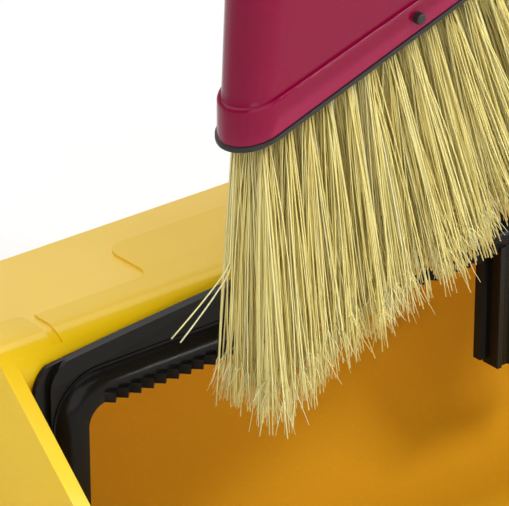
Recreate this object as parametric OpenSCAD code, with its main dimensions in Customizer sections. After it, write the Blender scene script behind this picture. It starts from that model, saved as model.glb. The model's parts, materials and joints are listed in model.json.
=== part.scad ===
// Upright dust pan with a comb under its hood, and an angle brush held over it.
// Millimetres. X runs along the pan's mouth, -Y is the open front, Z is up from the floor.
// The origin is on the floor at the middle of the pan's footprint.

/* [Pan] */
// Width over the side walls
pan_w = 368; // [352:1:372]
// Depth from the rubber lip to the back wall
pan_d = 162; // [158:1:168]
// Height of the hood's top face
pan_h = 101; // [99:1:103]
// Depth of the hood from the comb's front face to the back wall
hood_d = 53.5; // [52:0.5:56]
// Thickness of the moulded floor, back wall and hood
shell_t = 3; // [2.5:0.1:3.2]
// Thickness of the side walls
side_t = 4.5; // [4:0.1:5]
// Outer radius of the rolled lip along the hood's front edge
lip_r = 9.5; // [9:0.1:9.8]
// Inner radius of the scoop between the floor and the back wall
scoop_r = 55; // [45:1:56]
// Slope of the side walls' front rims below the horizontal
rim_angle = 42.3; // [40:0.1:44]
// Depth of the recessed panel on the hood
relief_h = 0.8; // [0.5:0.1:1.2]

/* [Comb] */
// Width of the comb frame's front face
comb_w = 344.4; // [344:0.2:348]
// Clear width between the comb's two legs
comb_gap_w = 326; // [322:1:328]
// Height of the comb bar's lower edge above the floor
comb_z = 82.2; // [81.5:0.1:83]
// Height of the flange's crown at the middle
comb_crown_z = 104.1; // [103.5:0.1:104.5]
// Height at which the flange's ends round down
comb_end_z = 95.9; // [95:0.1:97]
// Thickness of the comb frame's front plate and of the rim behind it
flange_t = 1.5; // [1.2:0.1:1.5]
// Forward depth of the rounded bar that carries the teeth
bar_d = 4; // [3.5:0.1:4.5]
// Spacing of the saw teeth
tooth_pitch = 4.17; // [4:0.01:4.5]
// Height of the teeth
tooth_h = 2.9; // [2.5:0.1:4]
// Half width of the ribbed centre post
post_hw = 20.3; // [19:0.1:22]
// Height of the centre post's lower end above the floor
post_z = 45.5; // [44:0.5:50]

/* [Pan handle] */
// Outer diameter of both handle tubes
tube_d = 22; // [21:0.5:23]
// Wall of the handle tubes
tube_t = 1.2; // [1:0.1:1.6]
// Height of the swing pin above the hood
pin_h = 15; // [14:1:17]
// Diameter of the swing pin
pin_d = 6; // [5:0.5:7]
// Height of the top of the pan's grip above the floor
pan_top_z = 880; // [760:10:940]
// Length of both rubber grips
grip_l = 130; // [100:5:150]

/* [Brush] */
// Distance of the brush's middle plane in front of the comb's face
brush_gap = 43.2; // [40:0.2:48]
// Slope of the brush block, rising from toe to heel
brush_slant = 18.9; // [17:0.1:21]
// Length of the block along its slope
block_l = 210; // [190:1:214]
// Thickness of the cap's skirt
skirt_t = 18.6; // [18:0.1:22]
// Height of the cap's skirt at the toe
skirt_h = 11.1; // [10:0.1:13]
// Slope of the ridge along the skirt's top
ridge_slant = 17.4; // [16:0.1:18.9]
// Length of the bristles at the toe
bristle_l = 81; // [70:1:84]
// Height of the block's lower edge above the floor at the toe
toe_z = 166.1; // [160:0.1:175]
// Height of the top of the brush's pole above the floor
brush_top_z = 960; // [860:10:1100]

/* [Hidden] */

$fn = 64;
yellow = [0.93, 0.76, 0.25];
black = [0.10, 0.09, 0.09];
crimson = [0.60, 0.05, 0.22];
straw = [0.80, 0.75, 0.45];
steel = [0.75, 0.75, 0.77];

// Pan
back_y = pan_d / 2;
front_y = -pan_d / 2;
comb_y = back_y - hood_d;
floor_z = 2;
lip_y = comb_y + lip_r + 3.2;
lip_z = pan_h - lip_r;
scoop_y = back_y - shell_t - scoop_r;
scoop_z = floor_z + shell_t + scoop_r;
top_corner_r = 5;
wedge_l = 10;
rim_low = 3;
// Recessed panel: its front line, its rear line, where it jogs, and the groove from it over the lip
panel_front_y = comb_y + 18.2;
panel_back_y = comb_y + 39.1;
panel_jog_x = 125.5;
groove_x = 163.8;
groove_w = 3;
groove_sweep = 46.5;
heel_x = 100;
foot_l = 24;
foot_w = 14;

// Comb
corner_r = 8;
rim_grow = 3.8;
opening_r = 6;
leg_z = 34;
bar_face_h = 3.4;
bar_round = 5;
bar_step = 0.4;
bar_top_z = comb_z + 8.9;
crown_rise = comb_crown_z - comb_end_z;
crown_hw = comb_w / 2 - corner_r;
crown_r = (pow(crown_hw, 2) + pow(crown_rise, 2)) / (2 * crown_rise);
tooth_d = tooth_pitch / 2;
teeth_start = 5.1;
tooth_count = floor((comb_gap_w / 2 - teeth_start - post_hw) / tooth_pitch);
hook_x = [40, 95, 150];
hook_z = 79.8;

// Pan handle
pin_y = comb_y + 30;
pin_z = pan_h + pin_h;
bracket_w = 64;
bracket_front = 17.3;
bracket_rear = 14.4;
ear_x = 16;
ear_t = 4;
base_t = 3;
run_clear = 0.05;
yoke_w = 2 * ear_x - 1;
knuckle_r = 11;
socket_r = 15.5;
socket_z = pin_z + 18;
socket_l = 62;
tube_seat = 40;
rivet_z = socket_z + socket_l - 14;
slider_w = 8;
slider_d = 4.5;
slider_z = pin_z + 22;
slider_l = 14;
slider_travel = 6;
tongue_z = pan_h + base_t + 0.4;
spring_l = 20;
hang_hole_d = 12;
cap_h = 30;

// Brush
brush_y = comb_y - brush_gap;
brush_toe_x = -148.7;
block_run = block_l * cos(brush_slant);
block_flange = 1.3;
block_h = 10;
pocket_d = 0.8;
pole_x = brush_toe_x + 0.47 * block_l;
neck_z = 262;
neck_l = 46;
neck_r = 15.5;
pole_z = neck_z + neck_l - 36;
thread_r = 9.2;
thread_l = 30;
body_z = 226;
stud_s = [58.7, 150];
stud_lift = 5;
tuft_pitch = 6.9;
row_pitch = 5;
bank_t = 13;

module along_x(length)
    rotate([90, 0, 90]) linear_extrude(length, center = true) children();

module mirror_x() {
    children();
    mirror([1, 0, 0]) children();
}

// Places a shape drawn on the slope of the brush block: x runs up the slope from the toe.
module on_slope(lift = 0)
    translate([brush_toe_x, brush_y, toe_z]) rotate([0, -brush_slant, 0]) translate([0, 0, lift]) children();

// A flat outline with straight sides and two round ends, from x = 0 to length.
module stadium(length, thick) {
    translate([thick / 2, -thick / 2]) square([length - thick, thick]);
    translate([thick / 2, 0]) circle(d = thick);
    translate([length - thick / 2, 0]) circle(d = thick);
}

// ---- Pan

module pan_section() {
    translate([front_y + wedge_l, floor_z]) square([scoop_y - front_y - wedge_l, shell_t]);
    intersection() {
        translate([scoop_y, scoop_z]) difference() {
            circle(scoop_r + shell_t);
            circle(scoop_r);
        }
        translate([scoop_y, floor_z]) square([scoop_r + shell_t, scoop_r + shell_t]);
    }
    translate([back_y - shell_t, scoop_z]) square([shell_t, pan_h - top_corner_r - scoop_z]);
    intersection() {
        translate([back_y - top_corner_r, pan_h - top_corner_r]) difference() {
            circle(top_corner_r);
            circle(top_corner_r - shell_t);
        }
        translate([back_y - top_corner_r, pan_h - top_corner_r]) square(top_corner_r);
    }
    translate([lip_y, pan_h - shell_t]) square([back_y - top_corner_r - lip_y, shell_t]);
    difference() {
        translate([lip_y, lip_z]) difference() {
            circle(lip_r);
            circle(lip_r - shell_t);
        }
        translate([lip_y, lip_z]) polygon([[0, 2 * lip_r], [0, 0], [-lip_r, -2 * lip_r],
            [lip_r + 1, -2 * lip_r], [lip_r + 1, 2 * lip_r]]);
    }
}

module side_section() {
    rim_y = lip_y - lip_r * sin(rim_angle);
    rim_z = lip_z + lip_r * cos(rim_angle);
    low_y = rim_y - (rim_z - floor_z - rim_low) / tan(rim_angle);
    heel_r = 10;
    polygon([[low_y, floor_z], [low_y, floor_z + rim_low], [rim_y, rim_z], [lip_y, lip_z],
        [lip_y, pan_h], [back_y - top_corner_r, pan_h], [back_y, pan_h - top_corner_r],
        [back_y, floor_z + heel_r], [back_y - heel_r, floor_z]]);
    translate([lip_y, lip_z]) circle(lip_r);
    translate([back_y - top_corner_r, pan_h - top_corner_r]) circle(top_corner_r);
    translate([back_y - heel_r, floor_z + heel_r]) circle(heel_r);
}

// The material left in a square corner when it is rounded.
module corner_fill(r) difference() {
    square(r);
    translate([r, r]) circle(r);
}

// The hood's recessed panel seen from above, for one half of the pan.
module recess_outline() {
    seat_hw = bracket_w / 2 + 1;
    behind = back_y + 1;
    beside = pan_w / 2 + 1;
    island_x = groove_x + groove_w;
    island_y = panel_front_y + 2.2;
    difference() {
        translate([panel_jog_x, panel_front_y]) square([beside - panel_jog_x, behind - panel_front_y]);
        translate([panel_jog_x, panel_front_y]) corner_fill(4.5);
        translate([island_x, panel_front_y - 1]) square([beside + 1 - island_x, island_y + 1 - panel_front_y]);
    }
    translate([island_x, island_y]) rotate(-90) corner_fill(2.5);
    translate([seat_hw, panel_back_y]) square([panel_jog_x + 1 - seat_hw, behind - panel_back_y]);
    translate([panel_jog_x, panel_back_y]) rotate(180) corner_fill(6);
}

// What the recessed panel takes from the hood, with the narrow groove that runs from it over the lip.
module hood_relief() mirror_x() {
    translate([0, 0, pan_h - relief_h]) linear_extrude(relief_h + 1) recess_outline();
    translate([groove_x, lip_y, pan_h - relief_h]) cube([groove_w, panel_front_y - lip_y + 1, relief_h + 1]);
    translate([groove_x + groove_w / 2, lip_y, lip_z]) rotate([0, 90, 0]) rotate(180)
        rotate_extrude(angle = groove_sweep)
            translate([lip_r - relief_h, -groove_w / 2]) square([relief_h + 1, groove_w]);
}

module heel_blocks() mirror_x() translate([heel_x, 0, 0]) along_x(foot_w) difference() {
    translate([scoop_y + 14, floor_z]) square([back_y - 10 - scoop_y - 14, 24]);
    translate([scoop_y, scoop_z]) circle(scoop_r + shell_t / 2);
}

module pan_body() color(yellow) {
    difference() {
        union() {
            along_x(pan_w - side_t) pan_section();
            mirror_x() translate([pan_w / 2 - side_t / 2, 0, 0]) along_x(side_t) side_section();
            heel_blocks();
        }
        hood_relief();
        bracket_holes(1.7, 10);
    }
}

module front_lip() color(black) along_x(pan_w - 2 * side_t)
    polygon([[front_y, 0], [front_y, 0.9], [front_y + wedge_l, floor_z + shell_t],
        [front_y + wedge_l, floor_z], [front_y + wedge_l + 9, floor_z], [front_y + wedge_l + 9, 0]]);

module rubber_feet() color(black) mirror_x()
    translate([heel_x - foot_w / 2, back_y - 12 - foot_l, 0]) cube([foot_w, foot_l, floor_z]);

// ---- Comb

// The frame's outline, widened by grow on its sides and lowered by drop at its top, with the opening cut out.
module flange_outline(grow = 0, drop = 0) difference() {
    half = crown_hw + grow;
    intersection() {
        union() {
            translate([-comb_w / 2 - grow, leg_z]) square([comb_w + 2 * grow, comb_end_z - corner_r - leg_z]);
            translate([-half - 1, leg_z]) square([2 * half + 2, comb_crown_z - leg_z]);
            for (side = [-1, 1]) translate([side * half, comb_end_z - corner_r]) circle(corner_r);
        }
        translate([0, comb_crown_z - crown_r - drop]) circle(crown_r, $fn = 360);
    }
    comb_opening();
}

// The opening between the legs and under the bar, with its two upper corners rounded.
module comb_opening() {
    half = comb_gap_w / 2;
    translate([-half, 0]) square([2 * half, comb_z - opening_r]);
    translate([-half + opening_r, 0]) square([2 * (half - opening_r), comb_z]);
    for (side = [-1, 1]) translate([side * (half - opening_r), comb_z - opening_r]) circle(opening_r);
}

module xz_plate(y_back, thick)
    translate([0, y_back, 0]) rotate([90, 0, 0]) linear_extrude(thick) children();

// Section of the bar: x is forward from the plate, y is away from the opening.
module bar_section() {
    square([bar_d, bar_face_h]);
    square([bar_step, bar_top_z - comb_z]);
    intersection() {
        translate([bar_d - bar_round, bar_face_h]) circle(bar_round);
        translate([0, bar_face_h]) square(bar_round);
    }
}

module comb_bar() {
    half = comb_gap_w / 2;
    translate([0, comb_y, comb_z]) rotate([90, 0, -90])
        linear_extrude(2 * (half - opening_r), center = true) bar_section();
    mirror_x() {
        translate([-half, comb_y, leg_z]) rotate([0, 0, -90]) linear_extrude(comb_z - opening_r - leg_z)
            mirror([0, 1]) bar_section();
        translate([-half + opening_r, comb_y, comb_z - opening_r]) rotate([90, 0, 0]) rotate([0, 0, 90])
            rotate_extrude(angle = 90) rotate(90) mirror([0, 1]) translate([0, opening_r]) bar_section();
    }
}

module comb_teeth() mirror_x() translate([-comb_gap_w / 2 + teeth_start, comb_y - bar_d, comb_z])
    linear_extrude(tooth_h) for (i = [0 : tooth_count - 1]) translate([i * tooth_pitch, 0])
        polygon([[0, 1], [0, 0], [tooth_d, -tooth_d], [tooth_pitch, 0], [tooth_pitch, 1]]);

// Outline of the post seen from above, from one step of its side to another.
// Each pair is a distance from the middle and a step forward.
module post_steps(first, last) {
    proud = 5.3;
    deep = 4.4;
    steps = [[post_hw, 0], [post_hw - 2, 0], [post_hw - 2, proud], [post_hw - 3.6, proud],
        [post_hw - 4.2, deep], [post_hw - 6.4, deep], [post_hw - 7, proud], [post_hw - 9, proud],
        [post_hw - 9.6, deep], [post_hw - 12, deep], [post_hw - 12.6, proud]];
    side = [for (i = [first : last]) [-steps[i][0], -steps[i][1]]];
    back = [[-steps[first][0], 1]];
    mirrored = [for (i = [last : -1 : first]) [steps[i][0], -steps[i][1]]];
    polygon(concat(back, side, mirrored, [[steps[first][0], 1]]));
}

module centre_post() {
    top = comb_z + 2;
    translate([0, comb_y, post_z + 1.3]) linear_extrude(top - post_z - 1.3) post_steps(0, 10);
    translate([0, comb_y, post_z]) linear_extrude(top - post_z) post_steps(1, 10);
    xz_plate(comb_y + 2 * flange_t, 2 * flange_t) translate([-post_hw, post_z + 1.3])
        square([2 * post_hw, top - post_z - 1.3]);
}

// Hooks behind the flange that catch inside the hood's rolled lip.
module comb_hooks() mirror_x() for (x = hook_x) translate([x - 7, comb_y, 0]) {
    translate([0, 2 * flange_t - 1, hook_z]) cube([14, 10, 2]);
    translate([0, 2 * flange_t - 1, hook_z]) cube([14, 2, 5.4]);
    translate([0, 10, hook_z]) cube([14, 1.8, 6.5]);
}

module comb_frame() color(black) {
    xz_plate(comb_y + flange_t, flange_t) flange_outline();
    xz_plate(comb_y + 2 * flange_t, flange_t) flange_outline(rim_grow, 0.2);
    comb_bar();
    comb_teeth();
    centre_post();
    comb_hooks();
}

// ---- Pan handle

module bracket_holes(r, depth) mirror_x() for (y = [-11, 11])
    translate([26, pin_y + y, pan_h + base_t - depth]) cylinder(r = r, h = depth + 5);

module hinge_bracket() color(yellow) difference() {
    union() {
        translate([-bracket_w / 2, pin_y - bracket_front, pan_h])
            cube([bracket_w, bracket_front + bracket_rear, base_t]);
        mirror_x() translate([ear_x, 0, 0]) {
            translate([0, pin_y - 12, pan_h]) cube([ear_t, 24, pin_h]);
            translate([0, pin_y, pin_z]) rotate([0, 90, 0]) cylinder(r = 12, h = ear_t);
        }
    }
    translate([-ear_x - ear_t - 1, pin_y, pin_z]) rotate([0, 90, 0])
        cylinder(d = pin_d, h = 2 * (ear_x + ear_t + 1));
    bracket_holes(2.2, 4);
    translate([-slider_w / 2, pin_y - socket_r - 0.8, pan_h + 1]) cube([slider_w, 2.6, base_t]);
}

module bracket_screws() color(steel) mirror_x() for (y = [-11, 11]) translate([26, pin_y + y, pan_h]) {
    translate([0, 0, base_t]) cylinder(d = 7.6, h = 1.6);
    translate([0, 0, base_t + 1.6]) difference() {
        intersection() {
            translate([0, 0, -5.4]) sphere(6.5);
            cylinder(d = 7.6, h = 2);
        }
        translate([-3, -0.5, 0.3]) cube([6, 1, 2]);
        translate([-0.5, -3, 0.3]) cube([1, 6, 2]);
    }
    translate([0, 0, base_t - 9]) cylinder(r = 1.7, h = 9);
}

module bracket_inserts() color(yellow) mirror_x() for (y = [-11, 11])
    translate([26, pin_y + y, pan_h - 9]) difference() {
        cylinder(r = 4, h = 9 - shell_t);
        translate([0, 0, 2]) cylinder(r = 1.7, h = 10);
    }

module swing_pin() color(steel) translate([-ear_x - ear_t - 3, pin_y, pin_z]) rotate([0, 90, 0]) difference() {
    cylinder(d = pin_d, h = 2 * (ear_x + ear_t + 3));
    for (z = [1.2, 2 * (ear_x + ear_t + 3) - 2.2]) translate([0, 0, z]) difference() {
        cylinder(d = pin_d + 1, h = 1);
        cylinder(d = pin_d - 1.2, h = 1);
    }
}

module pin_clips() color(steel) mirror_x() translate([ear_x + ear_t + 0.85, pin_y, pin_z]) rotate([0, 90, 0])
    translate([0, 0, -0.05]) difference() {
        cylinder(d = pin_d + 5, h = 0.9);
        cylinder(d = pin_d - 1.2, h = 3, center = true);
        translate([0, -1.2, -1]) cube([8, 2.4, 3]);
    }

module handle_yoke() color(black) difference() {
    union() {
        translate([-yoke_w / 2, pin_y, pin_z]) rotate([0, 90, 0]) cylinder(r = knuckle_r, h = yoke_w);
        translate([-yoke_w / 2, pin_y - knuckle_r, pin_z]) cube([yoke_w, 2 * knuckle_r, 20]);
        translate([-yoke_w / 2, pin_y - knuckle_r, pan_h + base_t + 0.3]) cube([yoke_w, knuckle_r, 13]);
        translate([0, pin_y, socket_z]) cylinder(r = socket_r, h = socket_l);
        translate([-slider_w / 2 - 3, pin_y - socket_r - 3, slider_z - 6]) cube([slider_w + 6, 10, 46]);
    }
    translate([-yoke_w, pin_y, pin_z]) rotate([0, 90, 0])
        cylinder(r = pin_d / 2 + run_clear, h = 2 * yoke_w);
    translate([0, pin_y, socket_z + socket_l - tube_seat]) cylinder(d = tube_d, h = tube_seat + 1);
    translate([0, pin_y, rivet_z]) rotate([0, 90, 0]) cylinder(r = 2, h = 60, center = true);
    slider_channel();
    lock_screw_places() rotate([-90, 0, 0]) cylinder(r = 0.9, h = 6);
}

// Channel on the yoke's front for the lock slider, its tongue and its spring.
module slider_channel() {
    front = pin_y - socket_r - 3;
    translate([-slider_w / 2 - 0.3, front - 1, slider_z - 6.1])
        cube([slider_w + 0.6, slider_d + 1.3, 6.1 + slider_l + spring_l + 0.4]);
}

module lock_screw_places() for (z = [slider_z - 3, slider_z + 37]) for (side = [-1, 1])
    translate([side * (slider_w / 2 + 1.7), pin_y - socket_r - 3, z]) children();

module lock_slider() color(crimson) {
    front = pin_y - socket_r - 3;
    translate([-slider_w / 2, front + 0.2, slider_z]) cube([slider_w, slider_d - 0.2, slider_l]);
    translate([-slider_w / 2 + 1, front + 2.5, tongue_z]) cube([slider_w - 2, 2, slider_z - tongue_z + 1]);
    translate([-slider_w / 2 + 1.5, front - 4.2, slider_z + 3]) cube([slider_w - 3, 4.6, slider_l - 5]);
    for (i = [0 : 2]) translate([-slider_w / 2 + 1.5, front - 4.9, slider_z + 4 + i * 3])
        cube([slider_w - 3, 1, 1.2]);
}

module lock_spring() color(steel) {
    coils = 8;
    translate([0, pin_y - socket_r - 3 + slider_d / 2 + 0.2, slider_z + slider_l + 0.2])
        for (i = [0 : coils - 1]) translate([0, 0, i * (spring_l - 0.8) / (coils - 1)])
            rotate_extrude() translate([1.6, 0]) translate([-0.35, 0]) square([0.7, 0.7]);
    translate([0.9, pin_y - socket_r - 3 + slider_d / 2 - 0.15, slider_z + slider_l + 0.2])
        cube([0.7, 0.7, spring_l - 0.1]);
}

module lock_cover() color(black) translate([0, pin_y - socket_r - 3, 0]) difference() {
    translate([-slider_w / 2 - 3, -1.6, slider_z - 6]) cube([slider_w + 6, 1.6, 46]);
    translate([-slider_w / 2 + 1.1, -3, slider_z + 2.6])
        cube([slider_w - 2.2, 5, slider_l - 4.2 + slider_travel]);
    for (z = [slider_z - 3, slider_z + 37]) for (side = [-1, 1])
        translate([side * (slider_w / 2 + 1.7), 1, z]) rotate([90, 0, 0]) cylinder(r = 1, h = 4);
}

module lock_cover_screws() color(steel) lock_screw_places() {
    rotate([-90, 0, 0]) cylinder(r = 0.9, h = 5);
    translate([0, -1.6, 0]) rotate([-90, 0, 0]) cylinder(r = 0.9, h = 2);
    translate([0, -2.3, 0]) rotate([-90, 0, 0]) cylinder(r = 1.3, h = 0.7);
}

module tube(length) difference() {
    cylinder(d = tube_d, h = length);
    translate([0, 0, -1]) cylinder(d = tube_d - 2 * tube_t, h = length + 2);
}

module pan_tube() color(steel) {
    start = socket_z + socket_l - tube_seat;
    difference() {
        translate([0, pin_y, start]) tube(pan_top_z - cap_h - start);
        translate([0, pin_y, rivet_z]) rotate([0, 90, 0]) cylinder(r = 2, h = 60, center = true);
    }
}

module tube_rivet() color(steel) translate([0, pin_y, rivet_z]) rotate([0, 90, 0]) {
    cylinder(r = 2, h = 2 * socket_r, center = true);
    for (side = [-1, 1]) translate([0, 0, side * (socket_r + 0.6)]) cylinder(r = 3.6, h = 1.2, center = true);
}

// A ribbed sleeve over the end of a tube, under a cap whose top is at the height given.
module grip_sleeve(top) translate([0, 0, top - cap_h - grip_l]) difference() {
    union() {
        cylinder(r = 14.5, h = grip_l);
        for (i = [0 : 8]) translate([0, 0, 10 + i * (grip_l - 20) / 8]) rotate_extrude()
            translate([14.5, 0]) circle(1.1, $fn = 24);
    }
    translate([0, 0, -1]) cylinder(d = tube_d, h = grip_l + 2);
}

// A domed cap with a plug in the tube and a hanging hole through its tab.
module grip_cap(top) translate([0, 0, top - cap_h]) difference() {
    union() {
        translate([0, 0, -18]) cylinder(d = tube_d - 2 * tube_t, h = 18);
        cylinder(r = 14.5, h = 5);
        translate([-5, -11, 4]) cube([10, 22, 15]);
        translate([-5, 0, 19]) rotate([0, 90, 0]) cylinder(r = 11, h = 10);
    }
    translate([-6, 0, 18]) rotate([0, 90, 0]) cylinder(d = hang_hole_d, h = 12);
}

module pan_grip() color(black) translate([0, pin_y, 0]) grip_sleeve(pan_top_z);
module pan_grip_cap() color(crimson) translate([0, pin_y, 0]) grip_cap(pan_top_z);

// ---- Brush

// A form with vertical walls on the block's footprint, shrunk by inset, from one slope up to another.
// The slopes' heights are those at the toe.
module slope_prism(inset, low, high, high_slant = brush_slant)
    translate([brush_toe_x, brush_y, toe_z]) difference() {
        translate([inset, 0, -20]) linear_extrude(140) stadium(block_run - 2 * inset, skirt_t - 2 * inset);
        translate([0, 0, low]) rotate([0, -brush_slant, 0]) translate([-60, -40, -160]) cube([400, 80, 160]);
        translate([0, 0, high]) rotate([0, -high_slant, 0]) translate([-60, -40, 0]) cube([400, 80, 300]);
    }

module body_slab(wall) translate([brush_toe_x + 4 + wall, brush_y, body_z - wall])
    linear_extrude(1) stadium(152 - 2 * wall, 20 - 2 * wall, $fn = 32);

module cap_form(wall) {
    hull() {
        slope_prism(0.7 + wall, skirt_h - 3, skirt_h - 2, $fn = 32);
        body_slab(wall);
    }
    hull() {
        body_slab(wall);
        translate([pole_x, brush_y, neck_z + 2 - wall]) cylinder(r = neck_r - 0.3 - wall, h = 1, $fn = 32);
    }
}

module brush_cap() color(crimson) difference() {
    union() {
        slope_prism(0, block_flange, skirt_h, ridge_slant);
        cap_form(0);
        translate([pole_x, brush_y, neck_z - 34]) cylinder(r = neck_r, h = neck_l + 34);
    }
    slope_prism(2.2, 0, block_h - 1.5);
    difference() {
        cap_form(2);
        translate([pole_x, brush_y, neck_z - 34]) cylinder(r = neck_r, h = neck_l + 34);
    }
    translate([pole_x, brush_y, pole_z]) cylinder(d = tube_d, h = 40);
    translate([pole_x, brush_y, pole_z - thread_l]) cylinder(r = thread_r, h = thread_l + 1);
}

module tuft_places() for (i = [0 : floor((block_l - 18) / tuft_pitch)]) for (row = [-1, 0, 1])
    translate([9 + i * tuft_pitch, row * row_pitch, 0]) children();

module brush_block() color(black) difference() {
    union() {
        slope_prism(-0.5, 0, block_flange);
        slope_prism(2.3, 0, block_h - 1.6);
    }
    slope_prism(1.5, -1, pocket_d);
}

module snap_studs() color(black) on_slope(stud_lift) for (s = stud_s) for (side = [-1, 1])
    translate([s, side * skirt_t / 2, 0]) rotate([90, 0, 0]) cylinder(r = 1.55, h = 4, center = true);

module tuft_staples() color(steel) on_slope(3) tuft_places() translate([-1.2, -0.25, 0]) cube([2.4, 0.5, 3]);

// One bank of bristles between two places on the slope; each edge leans by its own angle.
function bristle_lean(s) = 34 * (1 - exp(-pow(s / 78, 1.7)));
function bristle_length(s) = bristle_l - 21 * (1 - exp(-s / 110));
function bristle_end(s) = [
    s * cos(brush_slant) + bristle_length(s) * sin(bristle_lean(s)),
    s * sin(brush_slant) - bristle_length(s) * cos(bristle_lean(s))];
function bristle_root(s) = [s * cos(brush_slant), s * sin(brush_slant) + pocket_d - 0.1];

module bristle_bank(from, to, count) {
    places = [for (i = [0 : count]) from + i * (to - from) / count];
    translate([brush_toe_x, brush_y + bank_t / 2, toe_z]) rotate([90, 0, 0]) linear_extrude(bank_t)
        polygon(concat([for (s = places) bristle_end(s)], [bristle_root(to - 0.2), bristle_root(from)]));
}

module bristles_toe() color(straw) bristle_bank(5.7, 72, 4);
module bristles_middle() color(straw) bristle_bank(72.2, 137, 4);
module bristles_heel() color(straw) bristle_bank(137.2, block_l - 5.7, 4);

module pole_thread() color(black) translate([pole_x, brush_y, pole_z - thread_l + 4]) {
    cylinder(r = thread_r, h = thread_l - 4);
    translate([0, 0, thread_l - 4]) cylinder(d = tube_d - 2 * tube_t, h = 20);
}

module brush_pole() color(steel) translate([pole_x, brush_y, pole_z]) tube(brush_top_z - cap_h - pole_z);

module brush_grip() color(black) translate([pole_x, brush_y, 0]) grip_sleeve(brush_top_z);
module brush_grip_cap() color(crimson) translate([pole_x, brush_y, 0]) grip_cap(brush_top_z);

pan_body();
front_lip();
rubber_feet();
comb_frame();
hinge_bracket();
bracket_screws();
bracket_inserts();
swing_pin();
pin_clips();
handle_yoke();
lock_cover();
lock_cover_screws();
pan_tube();
tube_rivet();
pan_grip();
pan_grip_cap();
lock_slider();
lock_spring();
brush_cap();
brush_block();
snap_studs();
tuft_staples();
bristles_toe();
bristles_middle();
bristles_heel();
pole_thread();
brush_pole();
brush_grip();
brush_grip_cap();
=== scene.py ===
"""Looks of the dust pan and brush set.

Sets up the camera, studio and materials, and makes the detailed pieces that stand for CAD nodes.
"""

import json
import math

import bmesh
import bpy
import numpy as np
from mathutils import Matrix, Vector


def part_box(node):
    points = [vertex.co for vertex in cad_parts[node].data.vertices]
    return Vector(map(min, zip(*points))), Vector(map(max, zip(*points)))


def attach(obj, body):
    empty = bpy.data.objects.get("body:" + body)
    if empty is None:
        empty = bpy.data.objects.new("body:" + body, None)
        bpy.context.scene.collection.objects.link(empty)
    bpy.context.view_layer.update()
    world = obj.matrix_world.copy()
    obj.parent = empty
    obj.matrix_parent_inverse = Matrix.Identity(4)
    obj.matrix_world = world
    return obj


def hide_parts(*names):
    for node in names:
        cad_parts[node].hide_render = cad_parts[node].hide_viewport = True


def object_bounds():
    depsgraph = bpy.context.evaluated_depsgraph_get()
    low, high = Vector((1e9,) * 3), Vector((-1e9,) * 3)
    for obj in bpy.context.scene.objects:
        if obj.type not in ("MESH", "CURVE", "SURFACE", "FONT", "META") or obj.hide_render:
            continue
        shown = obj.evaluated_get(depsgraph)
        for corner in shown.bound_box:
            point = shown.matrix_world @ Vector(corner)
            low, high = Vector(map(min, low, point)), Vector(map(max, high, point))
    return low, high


MM = 0.001

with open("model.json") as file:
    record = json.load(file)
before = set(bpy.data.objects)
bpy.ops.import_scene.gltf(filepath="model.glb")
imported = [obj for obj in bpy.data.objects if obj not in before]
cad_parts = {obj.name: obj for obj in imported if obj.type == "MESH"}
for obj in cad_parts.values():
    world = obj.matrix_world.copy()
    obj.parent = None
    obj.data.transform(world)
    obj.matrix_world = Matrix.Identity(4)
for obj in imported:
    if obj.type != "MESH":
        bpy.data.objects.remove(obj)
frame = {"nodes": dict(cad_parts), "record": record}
cad_lo, cad_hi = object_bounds()
nodes = frame["nodes"]
slot_of = {part["node"]: part["material_slot"] for part in frame["record"]["subparts"]}
body_of = {name: body for body, names in frame["record"]["behaviour"]["bodies"].items() for name in names}

# ---------------------------------------------------------------- camera

VIEW_AZIMUTH = math.radians(39.2)
VIEW_ELEVATION = math.radians(26.2)
VIEW_DISTANCE = 0.950
LENS = 254.6
SENSOR_WIDTH = 36
CLIP_START = 0.01
AIM_FROM_COMB = Vector((64.7, -2.7, 8.9)) * MM

comb_lo, comb_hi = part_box("comb_frame")
aim = Vector((comb_lo.x, comb_lo.y, comb_hi.z)) + AIM_FROM_COMB
look = Vector((math.sin(VIEW_AZIMUTH) * math.cos(VIEW_ELEVATION),
               math.cos(VIEW_AZIMUTH) * math.cos(VIEW_ELEVATION),
               -math.sin(VIEW_ELEVATION)))


def aimed(thing, place, target):
    """Puts a camera or light object at a place, facing a target."""
    thing.location = place
    thing.rotation_mode = "QUATERNION"
    thing.rotation_quaternion = (Vector(target) - Vector(place)).to_track_quat("-Z", "Y")
    bpy.context.scene.collection.objects.link(thing)


camera = bpy.data.objects.new("camera", bpy.data.cameras.new("camera"))
camera.data.sensor_width = SENSOR_WIDTH
camera.data.lens = LENS
camera.data.clip_start = CLIP_START
aimed(camera, aim - look * VIEW_DISTANCE, aim)
bpy.context.scene.camera = camera
bpy.context.scene.view_settings.view_transform = "Standard"


# ---------------------------------------------------------------- materials

# Numbers of the Mix node's sockets when it mixes colours
MIX_FACTOR, MIX_FIRST, MIX_SECOND, MIX_RESULT = 0, 6, 7, 2


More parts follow.
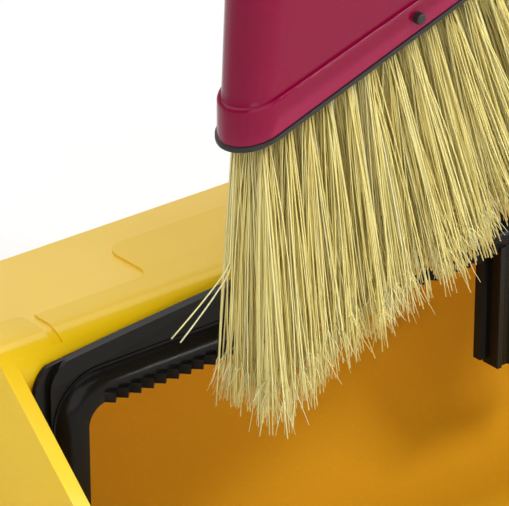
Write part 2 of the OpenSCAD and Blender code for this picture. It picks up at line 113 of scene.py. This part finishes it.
class Material:
    """A node material: a principled shader with helpers that chain texture nodes into it."""

    def __init__(self, name, roughness, specular=0.5, metallic=0.0):
        self.material = bpy.data.materials.new(name)
        self.material.use_nodes = True
        self.tree = self.material.node_tree
        self.shader = self.tree.nodes["Principled BSDF"]
        self.shader.inputs["Roughness"].default_value = roughness
        self.shader.inputs["Specular IOR Level"].default_value = specular
        self.shader.inputs["Metallic"].default_value = metallic
        self.place = self.add("ShaderNodeTexCoord").outputs["Object"]

    def add(self, kind, **settings):
        """Adds a node of a kind, with its settings."""
        node = self.tree.nodes.new(kind)
        for key, value in settings.items():
            setattr(node, key, value)
        return node

    def link(self, source, target):
        self.tree.links.new(source, target)

    def noise(self, scale, detail=3.0, stretch=None, distortion=0.0):
        """Noise in object space, in features per metre, stretched along an axis if asked."""
        node = self.add("ShaderNodeTexNoise")
        node.inputs["Scale"].default_value = scale
        node.inputs["Detail"].default_value = detail
        node.inputs["Distortion"].default_value = distortion
        source = self.place
        if stretch:
            mapping = self.add("ShaderNodeMapping")
            mapping.inputs["Scale"].default_value = stretch
            self.link(self.place, mapping.inputs["Vector"])
            source = mapping.outputs["Vector"]
        self.link(source, node.inputs["Vector"])
        return node.outputs["Fac"]

    def ramp(self, source, stops):
        """Maps a value through colour or grey stops given as (position, colour)."""
        node = self.add("ShaderNodeValToRGB")
        elements = node.color_ramp.elements
        while len(elements) < len(stops):
            elements.new(0.5)
        for element, (position, colour) in zip(elements, stops):
            element.position = position
            element.color = (*colour, 1) if hasattr(colour, "__len__") else (colour, colour, colour, 1)
        self.link(source, node.inputs["Fac"])
        return node.outputs["Color"]

    def band(self, source, low, high):
        """0 below low, 1 above high, and between them in proportion."""
        node = self.add("ShaderNodeMapRange")
        node.inputs["From Min"].default_value = low
        node.inputs["From Max"].default_value = high
        self.link(source, node.inputs["Value"])
        return node.outputs["Result"]

    def mix(self, factor, first, second, blend="MIX"):
        """Mixes two colours. Each argument is a socket or a constant."""
        node = self.add("ShaderNodeMix", data_type="RGBA", blend_type=blend)
        for value, index in ((factor, MIX_FACTOR), (first, MIX_FIRST), (second, MIX_SECOND)):
            socket = node.inputs[index]
            if hasattr(value, "is_linked"):
                self.link(value, socket)
            elif hasattr(value, "__len__"):
                socket.default_value = (*value, 1)
            else:
                socket.default_value = value
        return node.outputs[MIX_RESULT]

    def colour(self, source):
        self.link(source, self.shader.inputs["Base Color"])

    def rough(self, source):
        self.link(source, self.shader.inputs["Roughness"])

    def bump(self, *layers):
        """Bump from (source, depth in metres) layers, chained."""
        normal = None
        for source, depth in layers:
            node = self.add("ShaderNodeBump")
            node.inputs["Strength"].default_value = 1.0
            node.inputs["Distance"].default_value = depth
            self.link(source, node.inputs["Height"])
            if normal:
                self.link(normal, node.inputs["Normal"])
            normal = node.outputs["Normal"]
        self.link(normal, self.shader.inputs["Normal"])

    def edges(self):
        """White along worn convex edges, black elsewhere."""
        point = self.add("ShaderNodeNewGeometry").outputs["Pointiness"]
        return self.ramp(point, [(0.52, 0.0), (0.60, 1.0)])


hood_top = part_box("hinge_bracket")[0].z
# Plastic above this band of heights always counts as exposed, and gets no painted shade
EXPOSED_BAND = (hood_top - 14 * MM, hood_top - 9 * MM)
# The heights over which the painted sheen on the hood's top runs
SHEEN_BAND = (hood_top - 2 * MM, hood_top)
# Painted sheen, whitish reflected light added to the plastic's colour: more on the matt recessed panel, a
# faint bluish trace on the smoother plateau
HOOD_PAINTED_SHEEN = [(0.30, (0.0, 0.0, 0.0)), (0.45, (0.06, 0.065, 0.075)), (0.70, (0.06, 0.065, 0.075)),
               (0.85, (0.0, 0.0, 0.025))]
# Reach of the ambient occlusion that finds where the painted shade goes, and the roughness given there
HOLLOW_REACH = 0.2
HOLLOW_ROUGHNESS = 0.85
DUST = 0.06


def hood_sheen_and_hollow_shade(made, surface, hollow_shade_colour):
    """Adds a painted sheen to the hood's top, and painted shade, a darker and richer colour, in enclosed
    places. Gives the colour and the exposure.
    """
    # Painted shade: ambient occlusion finds the enclosed places, which get the darker, richer colour
    hollow = made.add("ShaderNodeAmbientOcclusion", samples=16)
    hollow.inputs["Distance"].default_value = HOLLOW_REACH
    exposed = made.ramp(hollow.outputs["AO"], [(0.42, 0.0), (0.72, 1.0)])
    height = made.add("ShaderNodeSeparateXYZ")
    made.link(made.place, height.inputs[0])
    exposed = made.mix(1.0, exposed, made.band(height.outputs["Z"], *EXPOSED_BAND), "LIGHTEN")
    # Painted sheen on the hood's top, added by height
    layer = made.band(height.outputs["Z"], *SHEEN_BAND)
    surface = made.mix(1.0, surface, made.ramp(layer, HOOD_PAINTED_SHEEN), "ADD")
    return made.mix(exposed, hollow_shade_colour, surface), exposed


def moulded(name, base, pale, deep, roughness, grain=0.03 * MM, specular=0.5, wear=0.25, hollow_shade_colour=None):
    """Injection-moulded plastic: faint flow clouds, fine grain and edges rubbed paler.

    If given a shade colour, enclosed places get it as painted shade, darker and richer than the plastic, and
    the hood's top gets a painted sheen.
    """
    made = Material(name, roughness, specular=specular)
    surface = made.ramp(made.noise(14, detail=2), [(0.35, deep), (0.65, base)])
    if hollow_shade_colour:
        surface, exposed = hood_sheen_and_hollow_shade(made, surface, hollow_shade_colour)
    specks = made.ramp(made.noise(900, detail=2), [(0.62, 0.0), (0.72, 1.0)])
    worn = made.mix(made.mix(1.0, made.edges(), (wear, wear, wear), "MULTIPLY"), surface, pale)
    dusted = made.mix(made.mix(1.0, specks, (DUST, DUST, DUST), "MULTIPLY"), worn, pale)
    made.colour(dusted)
    smears = made.noise(60, detail=4, stretch=(1, 1, 0.3), distortion=0.6)
    finish = made.ramp(smears, [(0.3, roughness * 0.8), (0.7, roughness * 1.25)])
    if hollow_shade_colour:
        finish = made.mix(exposed, (HOLLOW_ROUGHNESS, HOLLOW_ROUGHNESS, HOLLOW_ROUGHNESS), finish)
    made.rough(finish)
    made.bump((made.noise(2200, detail=2), grain), (made.noise(55, detail=1), grain * 4))
    return made.material


def metal(name, base, roughness, stretch):
    """Drawn metal: fine lines along its length, with scuffs."""
    made = Material(name, roughness, metallic=1.0)
    lines = made.noise(900, stretch=stretch)
    made.colour(made.ramp(lines, [(0.3, tuple(c * 0.82 for c in base)), (0.7, base)]))
    scuffs = made.noise(40, stretch=stretch)
    made.rough(made.ramp(scuffs, [(0.3, roughness * 0.85), (0.7, roughness * 1.2)]))
    made.bump((lines, 0.004 * MM))
    return made.material


def straw(name):
    """Synthetic broom filament: each filament has its own tint, and painted shade makes it darker and browner
    at its root.
    """
    made = Material(name, roughness=0.42)
    tint = made.add("ShaderNodeAttribute", attribute_name="tint").outputs["Fac"]
    along = made.add("ShaderNodeAttribute", attribute_name="along").outputs["Fac"]
    body = made.ramp(tint, [(0.0, (0.76, 0.62, 0.17)), (0.35, (0.90, 0.78, 0.28)),
                            (0.8, (0.95, 0.87, 0.40)), (1.0, (0.97, 0.93, 0.58))])
    # Painted shade: darker and browner near the root, where the filaments crowd together under the block
    shade = made.ramp(along, [(0.0, (0.62, 0.54, 0.34)), (0.16, (0.95, 0.93, 0.88)), (1.0, (1.0, 1.0, 1.0))])
    streak = made.ramp(made.noise(500, detail=2, stretch=(1, 1, 0.05)), [(0.3, 0.86), (0.7, 1.0)])
    made.colour(made.mix(1.0, made.mix(1.0, body, shade, "MULTIPLY"), streak, "MULTIPLY"))
    made.bump((made.noise(3000, detail=1, stretch=(1, 1, 0.1)), 0.04 * MM))
    return made.material


MATERIALS = {
    # The pan's orange shade colour is painted shade for its enclosed places
    "pan_yellow": moulded("pan_yellow", base=(0.80, 0.515, 0.002), pale=(0.90, 0.66, 0.10),
                          deep=(0.77, 0.49, 0.001), roughness=0.34, specular=0.25, hollow_shade_colour=(0.56, 0.238, 0.0)),
    "comb_black": moulded("comb_black", base=(0.008, 0.007, 0.005), pale=(0.05, 0.048, 0.05),
                          deep=(0.006, 0.005, 0.004), roughness=0.2, specular=0.12),
    "block_black": moulded("block_black", base=(0.018, 0.016, 0.014), pale=(0.06, 0.055, 0.05),
                           deep=(0.012, 0.010, 0.009), roughness=0.4, specular=0.3),
    "rubber_black": moulded("rubber_black", base=(0.022, 0.021, 0.020), pale=(0.07, 0.068, 0.065),
                            deep=(0.014, 0.013, 0.013), roughness=0.62, grain=0.08 * MM),
    "cap_crimson": moulded("cap_crimson", base=(0.195, 0.0002, 0.027), pale=(0.42, 0.03, 0.10),
                           deep=(0.165, 0.0002, 0.021), roughness=0.13, specular=0.2),
    "bristle_straw": straw("bristle_straw"),
    "aluminium": metal("aluminium", base=(0.66, 0.67, 0.69), roughness=0.34, stretch=(1, 1, 0.02)),
    "steel": metal("steel", base=(0.62, 0.62, 0.64), roughness=0.32, stretch=(1, 0.2, 1)),
}


def dress(thing, slot):
    """Gives an object the material of a slot, and no other."""
    thing.data.materials.clear()
    thing.data.materials.append(MATERIALS[slot])


for node_name, thing in nodes.items():
    dress(thing, slot_of[node_name])


# ---------------------------------------------------------------- pieces that stand for CAD nodes

def stand_for(node_name, mesh, suffix=""):
    """Makes an object from a mesh that stands for a CAD node, with the node's body and material slot."""
    piece = bpy.data.objects.new(node_name + "_piece" + suffix, mesh)
    bpy.context.scene.collection.objects.link(piece)
    dress(piece, slot_of[node_name])
    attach(piece, body_of[node_name])
    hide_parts(node_name)
    return piece


def mesh_from(shape, name, smooth_below):
    """A mesh of a bmesh shape, smooth except at edges sharper than an angle. The shape is used up."""
    for face in shape.faces:
        face.smooth = True
    for edge in shape.edges:
        edge.smooth = edge.calc_face_angle(0) < smooth_below
    mesh = bpy.data.meshes.new(name)
    shape.to_mesh(mesh)
    shape.free()
    return mesh


SAME_POINT = 1e-6
FLAT_ANGLE = math.radians(0.4)
CRISP_ANGLE = math.radians(28)
SOFTENED_SMOOTH = math.radians(38)
SOFT_EDGES = {
    "pan_body": 0.45 * MM,
    "comb_frame": 0.35 * MM,
    "hinge_bracket": 0.5 * MM,
    "handle_yoke": 0.6 * MM,
    "front_lip": 0.2 * MM,
    "lock_slider": 0.3 * MM,
    "lock_cover": 0.25 * MM,
    "pan_grip_cap": 0.8 * MM,
    "brush_grip_cap": 0.8 * MM,
    "brush_block": 0.25 * MM,
    "snap_studs": 0.6 * MM,
}


def softened(node_name, width):
    """The CAD node's own form with its sharp edges rounded, as moulding leaves them."""
    shape = bmesh.new()
    shape.from_mesh(nodes[node_name].data)
    bmesh.ops.remove_doubles(shape, verts=shape.verts, dist=SAME_POINT)
    bmesh.ops.dissolve_limit(shape, angle_limit=FLAT_ANGLE, verts=shape.verts, edges=shape.edges,
                             delimit={"NORMAL"})
    crisp = [edge for edge in shape.edges if edge.is_manifold and edge.calc_face_angle(0) > CRISP_ANGLE]
    bmesh.ops.bevel(shape, geom=crisp, offset=width, segments=2, profile=0.5, affect="EDGES",
                    clamp_overlap=True, harden_normals=False)
    return stand_for(node_name, mesh_from(shape, node_name + "_soft", SOFTENED_SMOOTH))


for node_name, width in SOFT_EDGES.items():
    even = softened(node_name, width).modifiers.new("even_faces", "WEIGHTED_NORMAL")
    even.keep_sharp = True
    even.weight = 100


# ---------------------------------------------------------------- brush cap

SLANT = math.radians(18.9)
RIDGE_SLANT = math.radians(17.4)
BLOCK_OVERHANG = 0.5 * MM
SKIRT_HEIGHT = 11.1 * MM
SKIRT_CEILING = 8 * MM
SKIRT_STEPS = (0.35, 0.7, 1.0)
FLANGE = 1.3 * MM
SHELL = 2.2 * MM
RIM_EDGE = 0.15 * MM
RIDGE_ROUND = 1.0 * MM
RIDGE_TURNS = (15, 30, 45, 60, 75, 90)
SEAM = 0.12 * MM
BODY_INSET = 1.1 * MM
BODY_LIFT = 0.1 * MM
BODY_STEPS = (0.0, 0.05, 0.2, 0.4, 0.6, 0.8, 0.93, 1.0)
SHOULDER_TOE_INSET = 4 * MM
SHOULDER_HEEL_INSET = 0.8 * MM
SHOULDER_HALF = 10 * MM
SHOULDER_BELOW_TOP = 82 * MM
SHOULDER_RISE = 18.5 * MM
HEEL_START = 152 * MM
HEEL_NARROWING = 0.82
NECK_BELOW_POLE = 9 * MM
NECK_RADIUS = 15.5 * MM
NECK_STEPS = 10
INWARD_POWER = 0.85
UPWARD_POWER = 1.3
# The neck's rounded top: radius, and distance below the cap's top
NECK_EDGE = ((NECK_RADIUS, 0.8 * MM), (15.2 * MM, 0.25 * MM), (14.6 * MM, 0.0))
POLE_RADIUS = 11 * MM
ARC_POINTS = 20
SIDE_POINTS = 14
LOFT_SMOOTH = math.radians(40)

cap_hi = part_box("brush_cap")[1]
block_lo, block_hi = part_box("brush_block")
pole_lo, pole_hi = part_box("brush_pole")
brush_y = (pole_lo.y + pole_hi.y) / 2
pole_x = (pole_lo.x + pole_hi.x) / 2
toe_x = block_lo.x + BLOCK_OVERHANG
heel_x = block_hi.x - BLOCK_OVERHANG
toe_z = block_lo.z + BLOCK_OVERHANG * math.tan(SLANT)
skirt_half = (block_hi.y - block_lo.y) / 2 - BLOCK_OVERHANG


def stadium_ring(left, right, half, seam=0.0):
    """Outline round two ends and two straight sides. A seam lifts the middle of each end a little."""
    points = []
    ends = ((left + half, right - half, 90, -1), (right - half, left + half, 270, 1))
    for middle, next_middle, start, side in ends:
        for i in range(ARC_POINTS + 1):
            turn = math.radians(start + 180 * i / ARC_POINTS)
            reach = half + (seam if i == ARC_POINTS // 2 else 0)
            points.append((middle + reach * math.cos(turn), brush_y + reach * math.sin(turn)))
        for i in range(1, SIDE_POINTS):
            share = i / SIDE_POINTS
            points.append((middle * (1 - share) + next_middle * share, brush_y + side * half))
    return np.array(points)


def skirt_ring(inset, seam=0.0):
    """Outline of the skirt, drawn in by an inset."""
    return stadium_ring(toe_x + inset, heel_x - inset, skirt_half - inset, seam)


def round_ring(radius):
    """The same count of points drawn round a circle about the pole."""
    points = []
    for start in (135, 315):
        for i in range(ARC_POINTS + SIDE_POINTS):
            share = i / ARC_POINTS if i <= ARC_POINTS else 1 + (i - ARC_POINTS) / SIDE_POINTS
            turn = math.radians(start + 90 * share)
            points.append((pole_x + radius * math.cos(turn), brush_y + radius * math.sin(turn)))
    return np.array(points)


def level(outline, height):
    """The outline as a ring at one height."""
    return np.column_stack([outline, np.full(len(outline), height)])


def sloped(outline, height, slant):
    """The outline as a ring that rises towards the heel, from a height above the block's toe."""
    return np.column_stack([outline, toe_z + height + (outline[:, 0] - toe_x) * math.tan(slant)])


def between(low, high, share):
    """The values that lie a share of the way from low to high."""
    return low * (1 - share) + high * share


def cap_rings():
    """Rings of the cap, from inside the skirt, round its rim, up the outside and into the pole's socket."""
    skirt = skirt_ring(0, SEAM)
    inside = skirt_ring(SHELL)
    rings = [sloped(inside, SKIRT_CEILING, SLANT), sloped(inside, FLANGE, SLANT),
             sloped(skirt_ring(RIM_EDGE), FLANGE, SLANT), sloped(skirt, FLANGE + RIM_EDGE, SLANT)]

    side_height = SKIRT_HEIGHT - RIDGE_ROUND
    low, high = sloped(skirt, FLANGE, SLANT), sloped(skirt, side_height, RIDGE_SLANT)
    rings += [between(low, high, share) for share in SKIRT_STEPS]
    for degrees in RIDGE_TURNS:
        turn = math.radians(degrees)
        ridge = skirt_ring(RIDGE_ROUND * (1 - math.cos(turn)), SEAM)
        rings.append(sloped(ridge, side_height + RIDGE_ROUND * math.sin(turn), RIDGE_SLANT))

    shoulder = stadium_ring(toe_x + SHOULDER_TOE_INSET, heel_x - SHOULDER_HEEL_INSET, SHOULDER_HALF, SEAM)
    narrowing = np.interp(shoulder[:, 0], [toe_x + HEEL_START, heel_x], [1, HEEL_NARROWING])
    shoulder[:, 1] = brush_y + (shoulder[:, 1] - brush_y) * narrowing
    shoulder_low = cap_hi.z - SHOULDER_BELOW_TOP
    shoulder_z = np.interp(shoulder[:, 0], [toe_x, heel_x], [shoulder_low, shoulder_low + SHOULDER_RISE])
    low = sloped(skirt_ring(BODY_INSET, SEAM), SKIRT_HEIGHT + BODY_LIFT, RIDGE_SLANT)
    high = np.column_stack([shoulder, shoulder_z])
    rings += [between(low, high, share) for share in BODY_STEPS]

    neck = round_ring(NECK_RADIUS)
    neck_low = pole_lo.z - NECK_BELOW_POLE
    for step in range(1, NECK_STEPS + 1):
        inward = (step / NECK_STEPS) ** INWARD_POWER
        upward = (step / NECK_STEPS) ** UPWARD_POWER
        outline, heights = between(shoulder, neck, inward), between(shoulder_z, neck_low, upward)
        rings.append(np.column_stack([outline, heights]))
    rings += [level(round_ring(radius), cap_hi.z - drop) for radius, drop in NECK_EDGE]
    rings += [level(round_ring(POLE_RADIUS), height) for height in (cap_hi.z, pole_lo.z)]
    return rings


def lofted(name, rings):
    """Skins rings of equal count and closes both ends."""
    count = len(rings[0])
    shape = bmesh.new()
    verts = [[shape.verts.new(point) for point in ring] for ring in rings]
    for below, above in zip(verts, verts[1:]):
        for i in range(count):
            j = (i + 1) % count
            shape.faces.new((below[i], below[j], above[j], above[i]))
    shape.faces.new(verts[0][::-1])
    shape.faces.new(verts[-1])
    bmesh.ops.recalc_face_normals(shape, faces=shape.faces)
    return mesh_from(shape, name, LOFT_SMOOTH)


stand_for("brush_cap", lofted("brush_cap_loft", cap_rings()))

# ---------------------------------------------------------------- bristles

FILAMENT_RADIUS = 0.27 * MM
TUFT_PITCH = 6.9 * MM
ROW_PITCH = 5 * MM
ROWS = (-1, 0, 1)
FIRST_TUFT = 9 * MM
TUFTS = 28
CLUMPS = 5
FILAMENTS_PER_CLUMP = 7
TUFT_RADIUS = 1.45 * MM
ROOT_DEPTH = 0.6 * MM
SEGMENTS = 7
SIDES = 3
# How the bristles lean towards the heel and get shorter, with distance up the slope
FULL_LEAN = 34
LEAN_REACH = 78 * MM
LEAN_POWER = 1.7
LEAST_LEAN = -1.5
TOE_LENGTH = 81 * MM
SHORTENING = 21 * MM
SHORTENING_REACH = 110 * MM
# Degrees that each outer row splays sideways
ROW_SWAY = 2.4
# What makes filaments differ: standard deviations in degrees, as a share of the length, and in metres
CLUMP_LEAN, CLUMP_SWAY = 2.1, 2.0
OWN_LEAN, OWN_SWAY = 1.3, 1.2
LENGTH_SPREAD = 0.022
TRIM_SPREAD = 1.0 * MM
BOW_SPREAD = 0.9 * MM
HOOK_SPREAD = 0.9 * MM
# The rest of a filament's form: sag when leaning, sharpness of the tip's turn, thickness, taper and tint
LEAN_BOW = -1.3 * MM
HOOK_POWER = 6
THICKNESS_RANGE = (0.85, 1.15)
TIP_TAPER = 0.72
TINT_SHAPE = 2.2
# The fine split ends, with their lengths and bend in millimetres
SPLITS = 2
SPLIT_LENGTHS = (5, 12)
SPLIT_SPREAD = 0.17
SPLIT_BEND = 0.5
SPLIT_HOOK = 1.5
SPLIT_POINTS = 4
SPLIT_RADII = np.array([0.5, 0.42, 0.34, 0.22]) * FILAMENT_RADIUS
SPLIT_PALER = 0.25
chance = np.random.default_rng(20261118)


def lean_at(s):
    """Lean of the bristles towards the heel, in degrees, at a distance up the slope from the toe."""
    return FULL_LEAN * (1 - np.exp(-np.power(s / LEAN_REACH, LEAN_POWER)))


def length_at(s):
    """Length of the bristles at a distance up the slope from the toe."""
    return TOE_LENGTH - SHORTENING * (1 - np.exp(-s / SHORTENING_REACH))


def unit(vectors):
    return vectors / np.linalg.norm(vectors, axis=-1, keepdims=True)


def hair_mesh(name, paths, radii, tints):
    """Tubes along paths (count, points, 3) with a radius at each point, and colour data for the material."""
    count, points, _ = paths.shape
    along = unit(paths[:, -1] - paths[:, 0])
    across = unit(np.cross(along, np.array([0.0, 1.0, 0.13])))
    over = np.cross(along, across)
    turns = np.arange(SIDES) * 2 * np.pi / SIDES
    ring = across[:, None, :] * np.cos(turns)[None, :, None] + over[:, None, :] * np.sin(turns)[None, :, None]
    verts = paths[:, :, None, :] + radii[:, :, None, None] * ring[:, None, :, :]
    start = (np.arange(count) * points * SIDES)[:, None, None]
    ring_start = (np.arange(points - 1) * SIDES)[None, :, None]
    side = np.arange(SIDES)[None, None, :]
    following = (side + 1) % SIDES
    low = start + ring_start
    quads = np.stack([low + side, low + following, low + SIDES + following, low + SIDES + side], axis=-1)
    first = start[:, 0, :] + np.arange(SIDES)[None, ::-1]
    last = start[:, 0, :] + (points - 1) * SIDES + np.arange(SIDES)[None, :]
    mesh = bpy.data.meshes.new(name)
    mesh.from_pydata(verts.reshape(-1, 3).tolist(), [],
                     quads.reshape(-1, 4).tolist() + first.tolist() + last.tolist())
    shares = np.tile(np.repeat(np.linspace(0, 1, points), SIDES), count)
    for label, values in (("tint", np.repeat(tints, points * SIDES)), ("along", shares)):
        mesh.attributes.new(label, "FLOAT", "POINT").data.foreach_set("value", values.astype(np.float32))
    mesh.polygons.foreach_set("use_smooth", np.ones(len(mesh.polygons), bool))
    mesh.update()
    return mesh


def tuft_filaments(s, row):
    """Roots, tips and bows of one tuft, which splits into clumps that each keep roughly together."""
    root = np.array([toe_x + s * math.cos(SLANT), brush_y + row * ROW_PITCH,
                     toe_z + s * math.sin(SLANT) + ROOT_DEPTH])
    total = CLUMPS * FILAMENTS_PER_CLUMP
    clump_lean = np.repeat(chance.normal(0, CLUMP_LEAN, CLUMPS), FILAMENTS_PER_CLUMP)
    clump_sway = np.repeat(chance.normal(0, CLUMP_SWAY, CLUMPS), FILAMENTS_PER_CLUMP)
    lean = np.radians(lean_at(s) + clump_lean + chance.normal(0, OWN_LEAN, total))
    lean = np.maximum(lean, math.radians(LEAST_LEAN))
    sway = np.radians(ROW_SWAY * row + clump_sway + chance.normal(0, OWN_SWAY, total))
    length = length_at(s) * (1 + chance.normal(0, LENGTH_SPREAD, total))
    length = length - np.abs(chance.normal(0, TRIM_SPREAD, total))
    turn = chance.uniform(0, 2 * np.pi, total)
    spread = np.sqrt(chance.uniform(0, 1, total)) * TUFT_RADIUS
    offset = np.column_stack([spread * np.cos(turn), spread * np.sin(turn),
                              spread * np.cos(turn) * math.tan(SLANT)])
    roots = root + offset
    heading = np.column_stack([np.sin(lean), np.sin(sway), -np.cos(lean) * np.cos(sway)])
    tips = roots + heading * length[:, None]
    bow_x = chance.normal(LEAN_BOW * math.sin(math.radians(lean_at(s))), BOW_SPREAD, total)
    bow_y = chance.normal(0, BOW_SPREAD, total)
    return roots, tips, np.column_stack([bow_x, bow_y, np.zeros(total)])


def curve_points(roots, tips, bows, hook, points):
    """Points along each filament: bowed in the middle, with a small turn at the tip."""
    share = np.linspace(0, 1, points)[None, :, None]
    path = roots[:, None, :] + (tips - roots)[:, None, :] * share
    path = path + bows[:, None, :] * 4 * share * (1 - share)
    return path + hook[:, None, :] * np.power(share, HOOK_POWER)


def flagged_tips(paths, tints):
    """Short fine split ends that spread from each filament's tip."""
    ends, heading = paths[:, -2], unit(paths[:, -1] - paths[:, -2])
    parts, shades = [], []
    for _ in range(SPLITS):
        reach = chance.uniform(*SPLIT_LENGTHS, len(paths))[:, None] * MM
        spread = chance.normal(0, SPLIT_SPREAD, (len(paths), 3))
        tip = ends + unit(heading + spread) * reach
        bend = chance.normal(0, SPLIT_BEND, (len(paths), 3)) * MM
        parts.append(curve_points(ends, tip, bend, bend * SPLIT_HOOK, SPLIT_POINTS))
        shades.append(np.clip(tints + SPLIT_PALER, 0, 1))
    return np.concatenate(parts), np.concatenate(shades)


def bristle_bank(node_name, low, high):
    """Every filament of the tufts whose roots lie between two distances up the slope."""
    gathered = []
    for i in range(TUFTS):
        s = FIRST_TUFT + i * TUFT_PITCH
        if low <= s < high:
            gathered += [tuft_filaments(s, row) for row in ROWS]
    roots, tips, bows = (np.concatenate(group) for group in zip(*gathered))
    hook = chance.normal(0, HOOK_SPREAD, roots.shape)
    paths = curve_points(roots, tips, bows, hook, SEGMENTS + 1)
    tints = chance.beta(TINT_SHAPE, TINT_SHAPE, len(paths))
    taper = np.linspace(1, TIP_TAPER, SEGMENTS + 1)[None, :]
    radii = FILAMENT_RADIUS * chance.uniform(*THICKNESS_RANGE, len(paths))[:, None] * taper
    stand_for(node_name, hair_mesh(node_name + "_hair", paths, radii, tints))
    split, shades = flagged_tips(paths, tints)
    fine = np.tile(SPLIT_RADII, (len(split), 1))
    stand_for(node_name, hair_mesh(node_name + "_flags", split, fine, shades), "_flags")


# The two filaments that have sprung out, in millimetres: root from the block's toe, drop to the tip, and kick
# outwards after the knee
STRAY_ROOTS = np.array([[6.5, 4, 1], [7.5, 5, 1]])
STRAY_DROPS = np.array([[-2.0, 1.0, -53.0], [-1.0, 1.5, -56.0]])
STRAY_KICKS = np.array([[-15.5, 3.0, 0.0], [-13.5, 3.0, 0.0]])
STRAY_TINTS = np.array([0.8, 0.95])
STRAY_POINTS = 3 * SEGMENTS + 1
STRAY_KNEE = 0.68
STRAY_CURL = 1.15


def strays():
    """Two filaments that have sprung out of the toe and stick out past its end."""
    roots = np.array([toe_x, brush_y, toe_z]) + STRAY_ROOTS * MM
    share = np.linspace(0, 1, STRAY_POINTS)[None, :, None]
    past_knee = np.maximum(share - STRAY_KNEE, 0) / (1 - STRAY_KNEE)
    paths = roots[:, None, :] + STRAY_DROPS[:, None, :] * MM * share
    paths = paths + STRAY_KICKS[:, None, :] * MM * past_knee ** STRAY_CURL
    radii = np.full((len(roots), STRAY_POINTS), FILAMENT_RADIUS)
    stand_for("bristles_toe", hair_mesh("bristles_toe_strays", paths, radii, STRAY_TINTS), "_strays")


BANK_ENDS = {
    "bristles_toe": (0, 72 * MM),
    "bristles_middle": (72 * MM, 137 * MM),
    "bristles_heel": (137 * MM, math.inf),
}
for node_name, (low, high) in BANK_ENDS.items():
    bristle_bank(node_name, low, high)
strays()

# ---------------------------------------------------------------- floor and light

FLOOR_HALF = 12.0
FLOOR_CORNERS = ((-1, -1), (1, -1), (1, 1), (-1, 1))
# Distances over which the floor turns into a bright backdrop
BACKDROP_BAND = (0.9, 3.0)
HORIZON_GREY = (0.72, 0.72, 0.72, 1)
OVERHEAD_GREY = (0.14, 0.14, 0.14, 1)
OVERHEAD_START = 0.45


def lay_floor():
    """A plain paper floor that glows at a distance, so that every view has a pale background."""
    mesh = bpy.data.meshes.new("floor")
    corners = [(x * FLOOR_HALF, y * FLOOR_HALF, cad_lo.z) for x, y in FLOOR_CORNERS]
    mesh.from_pydata(corners, [], [(0, 1, 2, 3)])
    floor = bpy.data.objects.new("floor", mesh)
    bpy.context.scene.collection.objects.link(floor)
    paper = Material("paper", roughness=0.8, specular=0.2)
    paper.colour(paper.ramp(paper.noise(3, detail=2), [(0.3, 0.86), (0.7, 0.90)]))
    distance = paper.add("ShaderNodeVectorMath", operation="LENGTH")
    paper.link(paper.place, distance.inputs[0])
    glow = paper.band(distance.outputs["Value"], *BACKDROP_BAND)
    paper.link(glow, paper.shader.inputs["Emission Strength"])
    paper.shader.inputs["Emission Color"].default_value = HORIZON_GREY
    mesh.materials.append(paper.material)


def softbox(name, place, width, height, power):
    """A rectangular studio light that faces what the camera looks at."""
    light = bpy.data.lights.new(name, "AREA")
    light.shape = "RECTANGLE"
    light.size = width
    light.size_y = height
    light.energy = power
    aimed(bpy.data.objects.new(name, light), place, aim)


def hang_sky():
    """A world that is bright at the horizon and darker overhead."""
    world = bpy.data.worlds.new("studio")
    bpy.context.scene.world = world
    world.use_nodes = True
    tree = world.node_tree
    sky = tree.nodes["Background"]
    height = tree.nodes.new("ShaderNodeSeparateXYZ")
    fade = tree.nodes.new("ShaderNodeValToRGB")
    horizon, overhead = fade.color_ramp.elements
    horizon.color = HORIZON_GREY
    overhead.color = OVERHEAD_GREY
    overhead.position = OVERHEAD_START
    place = tree.nodes.new("ShaderNodeTexCoord")
    tree.links.new(place.outputs["Generated"], height.inputs[0])
    tree.links.new(height.outputs["Z"], fade.inputs["Fac"])
    tree.links.new(fade.outputs["Color"], sky.inputs["Color"])
    sky.inputs["Strength"].default_value = 1.0


lay_floor()
mirrored = Vector((look.x, look.y, -look.z))
softbox("overhead", Vector((-0.15, 0.6, 1.35)), width=1.7, height=1.5, power=13)
softbox("back", aim + mirrored * 1.3, width=1.4, height=1.0, power=3.6)
softbox("key", Vector((-0.85, -1.05, 1.0)), width=1.6, height=1.6, power=16)
softbox("edge", aim + Vector((0.38, -0.53, 0.75)) * 1.25, width=0.60, height=0.13, power=7.5)
softbox("front_right", aim + Vector((0.57, -0.82, 0.12)) * 1.2, width=0.5, height=0.14, power=3.0)
hang_sky()
